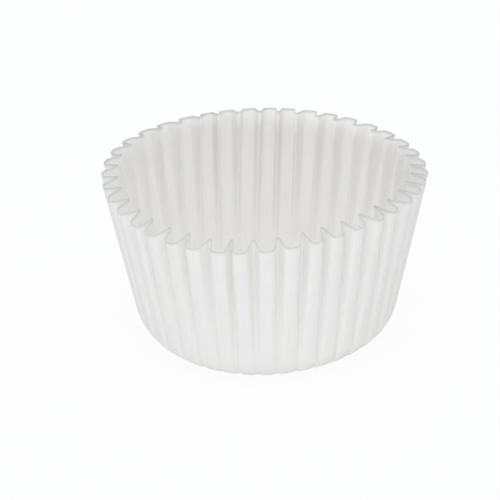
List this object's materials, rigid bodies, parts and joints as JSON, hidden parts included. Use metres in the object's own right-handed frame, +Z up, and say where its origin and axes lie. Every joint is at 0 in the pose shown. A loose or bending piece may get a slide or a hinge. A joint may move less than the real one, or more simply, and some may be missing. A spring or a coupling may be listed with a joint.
{
  "type": "fluted paper baking cup",
  "caption": "Round paper baking cup with a flat base and a pleated wall that flares to an open, scalloped rim.",
  "frame": {"origin": "centre of the flat base's underside, on the surface the cup stands on", "axes": "+Z up through the open rim, along the cup's axis"},
  "size_m": [0.0679, 0.0686, 0.0366],
  "materials": {
    "greaseproof_paper": "bleached white greaseproof paper, matt, slightly translucent"
  },
  "bodies": {
    "root": {"baking_cup": "greaseproof_paper"}
  },
  "joints": []
}
